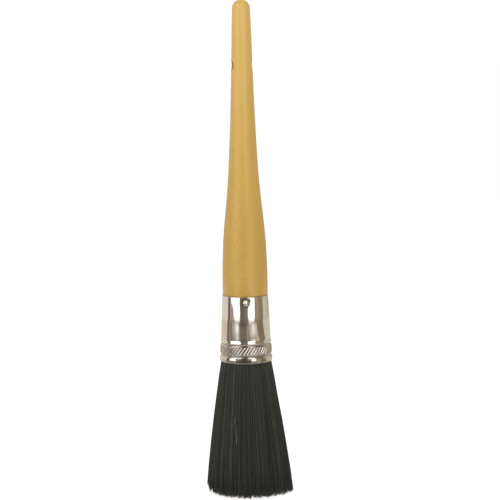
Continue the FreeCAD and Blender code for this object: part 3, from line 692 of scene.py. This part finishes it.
def make_ferrule():
    cols = 672
    theta = np.arange(cols) * TAU / cols - math.pi / 2 + math.pi  # seam of the grid at the back
    zs = np.concatenate(
        [
            np.linspace(MOUTH_Z, Z_LIP, 16)[:-1],
            np.linspace(Z_LIP, Z_BAND0, 9)[:-1],
            np.linspace(Z_BAND0, Z_BAND1, 38)[:-1],
            np.linspace(Z_BAND1, Z_BEAD0, 7)[:-1],
            np.linspace(Z_BEAD0, Z_BEAD1, 12)[:-1],
            np.linspace(Z_BEAD1, NAIL_Z - 2.9, 21)[:-1],
            np.linspace(NAIL_Z - 2.9, RIM_Z - 0.15, 36),
        ]
    )
    rad, dirt_and_shade = ferrule_outer(theta, zs)
    c, s = np.cos(theta), np.sin(theta)
    rows = []
    # rolled edge at the mouth, then the outside, the rim's edge and the inside
    inner_mouth = rad[0] - 0.42
    rows.append((inner_mouth, np.full(cols, MOUTH_Z + 0.24)))
    rows.append((inner_mouth + 0.05, np.full(cols, MOUTH_Z + 0.09)))
    rows.append((inner_mouth + 0.17, np.full(cols, MOUTH_Z + 0.01)))
    rows.append((rad[0] - 0.12, np.full(cols, MOUTH_Z - 0.0)))
    for i, z in enumerate(zs):
        zz = np.full(cols, z)
        if i == 0:
            zz = zz + 0.06
        rows.append((rad[i], zz))
    top = rad[-1]
    rows.append((top - 0.03, np.full(cols, RIM_Z - 0.06)))
    rows.append((top - 0.11, np.full(cols, RIM_Z)))
    rows.append((top - 0.30, np.full(cols, RIM_Z - 0.01)))
    rows.append((top - 0.38, np.full(cols, RIM_Z - 0.10)))
    for z in (RIM_Z - 1.0, CONE_TOP, 92.0, 80.0, 75.0):
        zi = np.array([z])
        ri = np.where(z > CONE_TOP, RIM_R, MOUTH_R - TAPER * (z - MOUTH_Z)) - WALL - 0.01
        rows.append((np.full(cols, float(ri)), np.full(cols, z)))
    n = len(rows)
    verts = np.concatenate([np.stack([r * c, r * s, z], -1) for r, z in rows])
    grime_and_shade = np.zeros((n, cols))
    grime_and_shade[4 : 4 + len(zs)] = dirt_and_shade
    grime_and_shade[:4] = 0.6
    grime_and_shade[-5:] = 0.8
    q = grid_faces(n, cols)
    # close the inside back to the mouth
    last, first = (n - 1) * cols + np.arange(cols), np.arange(cols)
    q2 = np.stack([last, np.roll(last, -1), np.roll(first, -1), first], -1)
    length = np.concatenate([[0], np.cumsum([float(np.hypot((rows[i + 1][0] - rows[i][0]).mean(), (rows[i + 1][1] - rows[i][1]).mean())) for i in range(n - 1)])])
    v = 0.01 + 0.96 * length / length[-1]
    uv = grid_uv(n, cols, v)
    k = np.arange(cols)
    uv2 = np.stack([np.stack([k / cols, np.full(cols, 0.975)], -1), np.stack([(k + 1) / cols, np.full(cols, 0.975)], -1),
                    np.stack([(k + 1) / cols, np.full(cols, 0.995)], -1), np.stack([k / cols, np.full(cols, 0.995)], -1)], -2)
    ob = build("ferrule_sleeve", verts, [q, q2], [uv, uv2], attributes={"grime_and_shade": grime_and_shade.ravel()})
    ob.data.materials.append(NICKEL)
    return ob


ferrule_ob = make_ferrule()
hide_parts("ferrule")
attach(ferrule_ob, "root")


# ------------------------------------------------------------------ nails
def make_nails():
    seat = RIM_R - 0.10
    cols = 40
    prof = []
    head_r, head_h = 1.75, 1.05
    curve = (head_r ** 2 + (head_h - 0.14) ** 2) / (2 * (head_h - 0.14))
    # head: domed top, thin rounded edge, flat underside
    for a in np.linspace(0.02, math.asin(head_r / curve), 14):
        prof.append((curve * math.sin(a), seat + head_h - curve * (1 - math.cos(a))))
    prof += [(head_r + 0.03, seat + 0.09), (head_r - 0.01, seat + 0.02), (head_r - 0.14, seat - 0.02), (0.72, seat - 0.02)]
    prof += [(0.65, seat - 0.12), (0.65, seat - 4.0), (0.65, seat - 8.2), (0.42, seat - 9.1), (0.02, seat - 10.0)]
    prof = np.array(prof)
    th = np.arange(cols) * TAU / cols
    out_v, out_f, out_uv = [], [], []
    base = 0
    for which, d in enumerate(NAIL_DIRS):
        g = rng(70 + which)
        side = np.array([-d[1], d[0], 0.0])
        up = np.array([0.0, 0.0, 1.0])
        rows = []
        for i, (r, x) in enumerate(prof):
            rr = np.full(cols, r)
            xx = np.full(cols, x)
            if i < 14:  # hammer marks on the dome
                xx = xx + 0.035 * np.sin(2 * th + g.uniform(0, 6)) * (r / head_r) ** 2 - 0.02 * (r / head_r) * np.cos(3 * th + 1.0)
                rr = rr * (1 + 0.02 * np.cos(2 * th + 0.7) * (r / head_r))
                # driven a little askew
                xx = xx - 0.26 * r * (1 - (r / head_r) ** 2) * np.cos(th - 0.5)
            rows.append(d * xx[:, None] + side * (rr * np.cos(th))[:, None] + up * (rr * np.sin(th))[:, None] + up * NAIL_Z)
        n = len(rows)
        tip_in = d * prof[-1, 1] + up * NAIL_Z
        tip_out = d * (prof[0, 1] + 0.002) + up * NAIL_Z
        verts = np.concatenate(rows + [tip_out[None], tip_in[None]])
        q = grid_faces(n, cols, base)[:, ::-1]
        k = np.arange(cols)
        first, last = base + k, base + (n - 1) * cols + k
        cap0 = np.stack([np.roll(first, -1), first, np.full(cols, base + n * cols)], -1)[:, ::-1]
        cap1 = np.stack([last, np.roll(last, -1), np.full(cols, base + n * cols + 1)], -1)[:, ::-1]
        out_v.append(verts)
        out_f += [q, cap0, cap1]
        base += len(verts)
    ob = build("nails_driven", np.concatenate(out_v), out_f)
    ob.data.materials.append(NAIL_METAL)
    import bmesh

    bm = bmesh.new()
    bm.from_mesh(ob.data)
    bmesh.ops.recalc_face_normals(bm, faces=bm.faces)
    bm.to_mesh(ob.data)
    bm.free()
    return ob


nails_ob = make_nails()
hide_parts("ferrule_nails")
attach(nails_ob, "root")

# the setting stays as the CAD made it, inside the ferrule
plug = nodes["resin_plug"]
for s in plug.material_slots:
    s.material = RESIN

# ------------------------------------------------------------------ bristles
TUFT_POLES = [(23.73, 1.6), (22.42, 13.2), (19.82, 36.4), (15.8, 59.6), (14.3, 71.2)]
_tuft = spline(TUFT_POLES, 1500)


def tuft_r(z):
    """Outside radius of the tuft at height z, from the tips up into the ferrule."""
    z = np.asarray(z, float)
    r = np.interp(z, _tuft[:, 1], _tuft[:, 0])
    r = np.where(z < 1.6, 23.73 + (1.6 - z) * 0.11, r)
    bore = MOUTH_R - TAPER * (z - MOUTH_Z) - WALL - 0.1
    t = smooth((z - 71.2) / (73.4 - 71.2))
    return np.where(z > 71.2, 14.3 * (1 - t) + bore * t, r)


def make_bristles(name, seed, count, radius_lo, radius_hi):
    g = rng(seed)
    # where each bristle leaves the setting: even over a ring of the section
    u = np.sqrt(g.uniform(radius_lo ** 2, radius_hi ** 2, count))
    th = g.uniform(0, TAU, count)
    root_z = 83.6
    # clumps: bristles that share a cell bend together and draw together at their tips
    seeds = rng(900)
    n_cl = 760
    cu, ct = np.sqrt(seeds.uniform(0, 1.02, n_cl)), seeds.uniform(0, TAU, n_cl)
    cxy = np.stack([cu * np.cos(ct), cu * np.sin(ct)], -1)
    c_bend = seeds.normal(0, 1, (n_cl, 2))
    c_len = seeds.normal(0, 1, n_cl)
    c_shade = seeds.normal(0, 1, n_cl)
    c_pull = seeds.uniform(0.0, 0.20, n_cl)
    xy = np.stack([u * np.cos(th), u * np.sin(th)], -1)
    cell = np.empty(count, int)
    for i in range(0, count, 2000):
        d = ((xy[i : i + 2000, None, :] - cxy[None]) ** 2).sum(-1)
        cell[i : i + 2000] = d.argmin(1)
    clump = c_bend[cell]
    outer = smooth((u - 0.86) / 0.14)
    # narrow wedges round the outside, each with its own length
    wedge_n = 280
    w_seed = rng(901)
    w_len = w_seed.exponential(0.50, wedge_n) * (w_seed.uniform(0, 1, wedge_n) < 0.60)
    w_len += w_seed.exponential(1.3, wedge_n) * (w_seed.uniform(0, 1, wedge_n) < 0.18)
    w_len = np.minimum(w_len, 3.0)
    wedge = (np.mod(th + 0.012 * np.sin(u * 90.0), TAU) / TAU * wedge_n).astype(int) % wedge_n
    # a few bristles on the outside are tan, more of them on the right, and a few carry painted highlights
    pick = g.uniform(0, 1, count)
    sd, fr = xy @ RIGHT[:2], xy @ BACK[:2]
    tan_bristle = (u > 0.93) & (pick < 0.004 * (fr < 0.25) + 0.016 * smooth((sd / u - 0.80) / 0.15))
    glint_level = np.zeros(count, int)
    if radius_hi >= 1.0:
        for level, place, _, _, _ in PAINTED_GLINTS:
            far = np.abs(sd / u - place) + 10.0 * (u < 0.965) + 10.0 * (fr < 0) + 10.0 * (glint_level > 0)
            glint_level[np.argsort(far)[:1]] = level
    # tip positions
    side = xy @ RIGHT[:2]  # -1 at the left of the usual view, +1 at the right
    front = xy @ BACK[:2]
    drop = np.abs(g.normal(0, 0.10, count)) + 0.08 * np.abs(c_len[cell])
    drop += g.exponential(0.5, count) * (g.uniform(0, 1, count) < 0.12)
    drop += w_len[wedge] * smooth((u - 0.35) / 0.25)
    left_corner = 2.6 * smooth((-side - 0.90) / 0.10) + 0.5 * smooth((-side - 0.2) / 0.8)
    rounding = 0.12 * smooth((u - 0.90) / 0.10) ** 2
    tip_z = 0.05 + drop + left_corner + rounding * np.where(side > 0.6, 0.5, 1.0)
    nick = np.exp(-(((side + 0.875) / 0.016) ** 2)) * (front > -0.1)
    tip_z += 2.2 * nick
    short = g.uniform(0, 1, count) < 0.05
    tip_z = np.where(short, tip_z + g.uniform(1, 9, count), tip_z)
    seg = 8
    s = np.array([0.0, 0.062, 0.125, 0.24, 0.38, 0.53, 0.69, 0.85, 1.0]) ** (1 / 0.92)
    z = root_z + (tip_z[:, None] - root_z) * (s ** 0.92)[None, :]
    R = tuft_r(z)
    fall = np.clip((MOUTH_Z - z) / MOUTH_Z, 0, 1)  # 0 at the mouth, 1 at the tips
    # towards the middle of its clump
    pull = (c_pull[cell] * 1.0)[:, None] * fall ** 2
    ux = xy[:, :1] * (1 - pull) + cxy[cell][:, :1] * pull
    uy = xy[:, 1:] * (1 - pull) + cxy[cell][:, 1:] * pull
    px, py = ux * R, uy * R
    # clumps lean together, single bristles wander, and a few spring out of the surface
    amp_c, amp_s = 0.10, 0.12
    spring = (g.uniform(0, 1, count) < 0.012) * outer
    single = g.normal(0, 1, (count, 2))
    curl = g.normal(0, 1, (count, 2))
    phase = g.uniform(0, TAU, count)
    bend = fall ** 1.5
    arc = np.sin(np.clip(fall, 0, 1) * math.pi)
    px += (clump[:, :1] * amp_c + single[:, :1] * amp_s) * bend + curl[:, :1] * 0.13 * arc
    py += (clump[:, 1:] * amp_c + single[:, 1:] * amp_s) * bend + curl[:, 1:] * 0.13 * arc
    wig = 0.04 * np.sin(fall * 17.0 + phase[:, None])
    px += wig * np.cos(phase)[:, None]
    py += wig * np.sin(phase)[:, None]
    out = spring[:, None] * (0.4 + 0.9 * g.uniform(0, 1, count)[:, None]) * fall ** 2.2
    # the near right-hand corner of the tuft is splayed a little
    turn = np.degrees(np.arctan2(front, side))
    splay = 1.25 * np.exp(-(((turn - 20.0) / 17.0) ** 2)) * smooth((u - 0.3) / 0.7)
    out = out + splay[:, None] * fall ** 1.6
    out = out + (tan_bristle * g.uniform(0.05, 0.22, count) + (glint_level > 0) * 0.26)[:, None] * smooth(fall * 4.0)
    # keep the body of the tuft to its profile
    rr = np.hypot(px, py)
    limit = R + 0.10 - 0.24 * smooth((z - 70.0) / 3.0) + 0.40 * fall ** 2
    over = np.maximum(rr / limit, 1.0)
    px, py = px / over, py / over
    px += out * np.cos(th)[:, None]
    py += out * np.sin(th)[:, None]
    # the whole tuft leans a little to the right at its tips
    lean = 0.85 * fall ** 1.2
    px += lean * RIGHT[0]
    py += lean * RIGHT[1]
    centre = np.stack([px, py, z], -1)
    # three-sided, tapering tubes
    tan = np.gradient(centre, axis=1)
    tan /= np.linalg.norm(tan, axis=-1, keepdims=True)
    ref = np.stack([np.cos(th + 0.3), np.sin(th + 0.3), np.zeros(count)], -1)[:, None, :]
    n1 = np.cross(tan, ref)
    n1 /= np.linalg.norm(n1, axis=-1, keepdims=True)
    n2 = np.cross(tan, n1)
    thick = g.uniform(0.085, 0.130, count)
    profile = np.interp(s, [0, 0.55, 0.93, 1.0], [1.0, 0.96, 0.86, 0.55])
    rad = thick[:, None] * profile[None, :]
    spin = g.uniform(0, TAU, count)
    sides = 3
    verts = np.empty((count, seg + 1, sides, 3))
    for k in range(sides):
        a = spin + k * TAU / sides
        verts[:, :, k] = centre + rad[..., None] * (np.cos(a)[:, None, None] * n1 + np.sin(a)[:, None, None] * n2)
    verts[..., 2] = np.maximum(verts[..., 2], 0.02)
    per = (seg + 1) * sides
    hb = np.arange(count)[:, None, None] * per
    i = np.arange(seg)[None, :, None] * sides
    k = np.arange(sides)[None, None, :]
    k2 = (k + 1) % sides
    a = hb + i + k
    b = hb + i + k2
    quads = np.stack([a, b, b + sides, a + sides], -1).reshape(-1, 4)
    root = (np.arange(count) * per)[:, None] + np.array([2, 1, 0])[None]
    tip = (np.arange(count) * per)[:, None] + seg * sides + np.array([0, 1, 2])[None]
    # shade of each bristle, in 96 steps
    shade = 0.42 + 0.012 * c_shade[cell] + g.normal(0, 0.036, count)
    # painted light: bristles towards the right of the view are painted lighter
    shade = np.clip(shade + 0.10 * smooth((sd - 0.1) / 0.8), 0.0, 0.85)
    shade = np.where(tan_bristle, 1.0, shade)
    level = np.round(shade * 95).astype(int)
    level = np.where(glint_level > 0, glint_level, level)
    along = np.broadcast_to(s[None, :, None], (count, seg + 1, sides))
    shade_v = np.broadcast_to((level / 95.0)[:, None, None], (count, seg + 1, sides))
    cell_u = level / 96.0
    kk = np.arange(sides)
    ua = cell_u[:, None, None] + (0.1 + 0.8 * kk / sides)[None, None, :] / 96.0
    ub = cell_u[:, None, None] + (0.1 + 0.8 * (kk + 1) / sides)[None, None, :] / 96.0
    va = (0.01 + 0.97 * s[:-1])[None, :, None]
    vb = (0.01 + 0.97 * s[1:])[None, :, None]
    shape = (count, seg, sides)
    ua, ub, va, vb = (np.broadcast_to(x, shape) for x in (ua, ub, va, vb))
    quv = np.stack([np.stack([ua, va], -1), np.stack([ub, va], -1), np.stack([ub, vb], -1), np.stack([ua, vb], -1)], -2).reshape(-1, 4, 2)
    tri_u = np.stack([cell_u + 0.1 / 96, cell_u + 0.5 / 96, cell_u + 0.9 / 96], -1)
    ruv = np.stack([tri_u, np.broadcast_to(np.array([0.002, 0.008, 0.002]), tri_u.shape)], -1)
    tuv = np.stack([tri_u, np.broadcast_to(np.array([0.985, 0.995, 0.985]), tri_u.shape)], -1)
    ob = build(
        name,
        verts.reshape(-1, 3),
        [quads, root, tip],
        [quv, ruv, tuv],
        attributes={"hair_shade": shade_v.ravel(), "hair_along": along.ravel()},
    )
    ob.data.materials.append(BRISTLE)
    return ob


for piece_name, seed, count, lo, hi in (
    ("bristles_core", 101, 3900, 0.0, 0.50),
    ("bristles_inner", 102, 3900, 0.50, 0.707),
    ("bristles_middle", 103, 3900, 0.707, 0.866),
    ("bristles_outer", 104, 3900, 0.866, 1.0),
):
    ob = make_bristles(piece_name, seed, count, lo, hi)
    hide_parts("bristle_tuft")
    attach(ob, "root")


# ------------------------------------------------------------------ floor, light and camera
def floor_and_light():
    # floor: one large pale disc with a very faint tooth
    cols = 64
    th = np.arange(cols) * TAU / cols
    radii = [60.0, 300.0, 1200.0, 9000.0]
    verts = [np.array([[0.0, 0.0, 0.0]])] + [np.stack([r * np.cos(th), r * np.sin(th), np.zeros(cols)], -1) for r in radii]
    faces = [np.stack([np.zeros(cols, int), 1 + np.arange(cols), 1 + np.roll(np.arange(cols), -1)], -1)]
    for k in range(len(radii) - 1):
        a = 1 + k * cols + np.arange(cols)
        b = 1 + k * cols + np.roll(np.arange(cols), -1)
        faces.append(np.stack([a, a + cols, b + cols, b], -1))
    floor = build("floor", np.concatenate(verts), faces)
    m = Mat("pale_floor", Roughness=0.7)
    m.bsdf.inputs["Specular IOR Level"].default_value = 0.1
    n = m.noise(m.coords((900, 900, 900)), 1.0, 2.0)
    m.to("Base Color", m.mix(m.remap(n, 0.3, 0.7, 0.0, 1.0), (0.30, 0.30, 0.30), (0.32, 0.32, 0.32)))
    m.bsdf.inputs["Emission Color"].default_value = (1.0, 1.0, 1.0, 1.0)
    m.bsdf.inputs["Emission Strength"].default_value = 0.76
    floor.data.materials.append(m.mat)
    floor.visible_glossy = False

    # backdrop: a white dome round the whole set
    rings, seg = 24, 64
    el = np.linspace(-0.02, math.pi / 2, rings)
    th = np.arange(seg) * TAU / seg
    pts = np.stack([np.outer(np.cos(el), np.cos(th)), np.outer(np.cos(el), np.sin(th)), np.outer(np.sin(el), np.ones(seg))], -1) * 8900.0
    dome = build("backdrop", pts.reshape(-1, 3), [grid_faces(rings, seg, flip=True)])
    mt = bpy.data.materials.new("backdrop")
    mt.use_nodes = True
    nt = mt.node_tree
    nt.nodes.remove(next(x for x in nt.nodes if x.type == "BSDF_PRINCIPLED"))
    em = nt.nodes.new("ShaderNodeEmission")
    em.inputs["Color"].default_value = (1.0, 1.0, 1.0, 1.0)
    em.inputs["Strength"].default_value = 1.02
    nt.links.new(em.outputs[0], next(x for x in nt.nodes if x.type == "OUTPUT_MATERIAL").inputs["Surface"])
    dome.data.materials.append(mt)
    dome.visible_diffuse = dome.visible_glossy = dome.visible_shadow = False
    dome.visible_transmission = dome.visible_volume_scatter = False

    # one surround of cards, seen only in reflections: two tall soft boxes, the dark gap between
    # them where the camera stands, and the duller walls of the room further round
    radius = 900.0
    az = np.radians(np.linspace(-180, 180, 361))
    zs = np.unique(np.concatenate([np.linspace(-900, -30, 18), np.linspace(-30, 45, 126), np.linspace(50, 400, 8), np.linspace(500, 2600, 12)]))
    A, Z = np.meshgrid(np.degrees(az), zs)

    def edge(x, at, width):
        return smooth((x - at) / width + 0.5)[..., None]

    def zone(base, lo, hi, colour, width=4.0):
        m = edge(A, lo, width) * (1 - edge(A, hi, width))
        return base * (1 - m) + np.asarray(colour) * m

    # from about table height up
    up = np.ones(A.shape + (3,)) * np.array([0.74, 0.69, 0.60])
    up = zone(up, -150, -95, (0.80, 0.765, 0.66), 10)
    up = zone(up, -95, -80, (0.24, 0.125, 0.09), 5)
    up = zone(up, -80, -58, (0.42, 0.35, 0.33), 5)
    spread = 18.0 * smooth((Z - 27.0) / 5.0)
    m = edge(A + spread, -58, 3) * (1 - edge(A, -25.5, 3))
    up = up * (1 - m) + np.array([1.75, 1.73, 1.70]) * m
    up = zone(up, -25.5, 9.5, (0.185, 0.155, 0.128), 3)
    up = zone(up, -4, 9.5, (0.265, 0.232, 0.195), 6)
    up = zone(up, 9.5, 44.5, (1.75, 1.73, 1.68), 3)
    up = zone(up, 44.5, 93, (0.38, 0.32, 0.215), 5)
    up = zone(up, 68, 93, (0.29, 0.24, 0.16), 12)
    up = zone(up, 93, 150, (0.63, 0.585, 0.50), 7)
    up = zone(up, 136, 147, (0.40, 0.36, 0.31), 6)
    # table below: two pools of light that fall off towards the brush
    # the height on the cards that shows at 96.3 mm on the ferrule, seen from the camera
    sin_e, tilt = 0.1602, 0.0403
    level = 96.3 - 890.0 * (sin_e - 2 * tilt * (0.987 * np.cos(np.radians(A) / 2) + 0.0065))
    down = np.ones(A.shape + (3,)) * np.array([0.70, 0.65, 0.57])
    down = zone(down, -99, -84, (0.20, 0.155, 0.12), 8)
    down = zone(down, -84, -63, (0.30, 0.235, 0.195), 8)
    down = zone(down, -63, -33, (0.50, 0.46, 0.43), 9)
    down = zone(down, -33, 5, (0.205, 0.175, 0.143), 7)
    down = zone(down, 5, 18, (0.34, 0.30, 0.25), 9)
    down = zone(down, 18, 50, (0.55, 0.51, 0.44), 9)
    slant = 0.5 * np.clip(level - Z, 0, 26)
    m = edge(A - slant, 50, 8) * (1 - edge(A - slant, 87, 8))
    down = down * (1 - m) + np.array([0.255, 0.205, 0.132]) * m
    left = np.exp(-(((A + 40.5) / 9.0) ** 2))[..., None]
    right = np.exp(-(((A - 35.5) / 11.0) ** 2))[..., None]
    near = level - Z
    fall = np.interp(near, [0, 2.2, 4.0, 9, 13, 17, 26, 35, 40, 78, 86, 120], [0.15, 0.25, 0.95, 0.88, 0.62, 0.30, 0.16, 0.2, 1.2, 1.2, 0.3, 0.10])[..., None]
    dim = np.interp(near, [0, 12, 20, 60], [1.0, 1.0, 0.72, 0.55])[..., None]
    dim = np.where(np.abs(A[..., None] + 5) < 62, dim, 1.0)
    down = down * dim + left * np.array([0.78, 0.79, 0.80]) * fall + right * np.array([0.60, 0.58, 0.55]) * fall
    seam = np.interp(near, [0, 2.4, 4.6], [0.42, 0.48, 1.0])[..., None]
    down = down * np.where(np.abs(A[..., None] + 5) < 56, seam, 1.0)
    deep = smooth((near - 150) / 200.0)[..., None]
    down = down * (1 - 0.5 * deep) + np.array([0.46, 0.44, 0.41]) * 0.5 * deep
    # the boxes' lower corners are rounded
    t_left = np.clip(np.abs(A + 41.75) / 16.25, 0, 1.4)
    t_right = np.clip(np.abs(A - 27) / 17.5, 0, 1.4)
    low_edge = level + 4.5 * np.minimum(t_left, t_right) ** 5
    is_box = (np.minimum(t_left, t_right) < 1.15)[..., None]
    blend = edge(Z, np.where(is_box[..., 0], low_edge, level), 1.6)
    colours = up * blend + down * (1 - blend)
    # the walls of the room are not one even tone
    tone = np.stack([
        1 + 0.045 * np.sin(0.11 * A + 0.12 * Z + 1.0) + 0.03 * np.sin(0.31 * A - 0.05 * Z),
        1 + 0.040 * np.sin(0.12 * A + 0.10 * Z + 1.3) + 0.03 * np.sin(0.29 * A - 0.06 * Z),
        1 + 0.085 * np.sin(0.09 * A - 0.15 * Z + 0.4) + 0.03 * np.sin(0.27 * A - 0.05 * Z),
    ], -1)
    colours = colours * np.where(np.abs(A[..., None]) > 62, tone, 1.0)

    d = np.cos(np.radians(A))[..., None] * BACK + np.sin(np.radians(A))[..., None] * RIGHT
    pts = d * radius
    pts[..., 2] = Z
    rows, cols = A.shape
    r, c = np.meshgrid(np.arange(rows - 1), np.arange(cols - 1), indexing="ij")
    a = r * cols + c
    ob = build("card_surround", pts.reshape(-1, 3), [np.stack([a, a + 1, a + cols + 1, a + cols], -1).reshape(-1, 4)])
    at = ob.data.color_attributes.new("card", "FLOAT_COLOR", "POINT")
    flat = np.concatenate([colours.reshape(-1, 3), np.ones((rows * cols, 1))], 1)
    at.data.foreach_set("color", flat.astype(np.float32).ravel())
    mt = bpy.data.materials.new("card_surround")
    mt.use_nodes = True
    nt = mt.node_tree
    nt.nodes.remove(next(x for x in nt.nodes if x.type == "BSDF_PRINCIPLED"))
    look = nt.nodes.new("ShaderNodeAttribute")
    look.attribute_name = "card"
    em = nt.nodes.new("ShaderNodeEmission")
    nt.links.new(look.outputs["Color"], em.inputs["Color"])
    em.inputs["Strength"].default_value = 1.0
    out = next(x for x in nt.nodes if x.type == "OUTPUT_MATERIAL")
    nt.links.new(em.outputs[0], out.inputs["Surface"])
    ob.data.materials.append(mt)
    ob.visible_camera = False
    ob.visible_diffuse = False
    ob.visible_shadow = False
    ob.visible_transmission = False
    ob.visible_volume_scatter = False

    # plain soft light: a white surround and two broad soft boxes
    world = bpy.data.worlds.new("studio")
    scene.world = world
    world.use_nodes = True
    bg = next(n for n in world.node_tree.nodes if n.type == "BACKGROUND")
    bg.inputs["Color"].default_value = (1.0, 1.0, 1.0, 1.0)
    bg.inputs["Strength"].default_value = 0.72

    def box(name, direction, elevation, distance, size, watts, colour=(1, 1, 1)):
        a = math.radians(direction)
        e = math.radians(elevation)
        d = math.cos(a) * BACK + math.sin(a) * RIGHT
        pos = (d * math.cos(e) + np.array([0, 0, math.sin(e)])) * distance + np.array([0, 0, 0.13])
        light = bpy.data.lights.new(name, "AREA")
        light.shape = "RECTANGLE"
        light.size, light.size_y = size
        light.energy = watts
        light.color = colour
        lamp = bpy.data.objects.new(name, light)
        scene.collection.objects.link(lamp)
        aim = Vector((0, 0, 0.13)) - Vector(pos)
        lamp.location = Vector(pos)
        lamp.rotation_euler = aim.to_track_quat("-Z", "Y").to_euler()
        lamp.visible_camera = False
        lamp.visible_glossy = False

    box("soft_left", -42, 34, 1.3, (0.6, 0.9), 6.0)
    box("soft_right", 28, 30, 1.3, (0.6, 0.9), 3.7)
    box("soft_back", 165, 40, 1.5, (1.0, 1.0), 4.0)


floor_and_light()

cam_data = bpy.data.cameras.new("camera")
cam_data.sensor_fit = "HORIZONTAL"
cam_data.sensor_width = 36.0
cam_data.lens = 36.0 * FOCAL_PX / 500.0
cam_data.clip_start, cam_data.clip_end = 0.01, 50.0
cam = bpy.data.objects.new("camera", cam_data)
scene.collection.objects.link(cam)
back = Vector(BACK * math.cos(EL) + np.array([0, 0, math.sin(EL)]))
right = Vector(RIGHT)
up = back.cross(right)
# roll: the brush's upper end leans to the left of the frame
cr, sr = math.cos(ROLL), math.sin(ROLL)
right_r = right * cr - up * sr
up_r = up * cr + right * sr
target = Vector((0, 0, 0.13425)) + right_r * AIM_SHIFT
pos = target + back * DIST
rot = Matrix((right_r, up_r, back)).transposed().to_4x4()
cam.matrix_world = Matrix.Translation(pos) @ rot
scene.camera = cam

scene.view_settings.view_transform = "Standard"
scene.view_settings.look = "None"
scene.view_settings.exposure = 0.0
scene.view_settings.gamma = 1.0
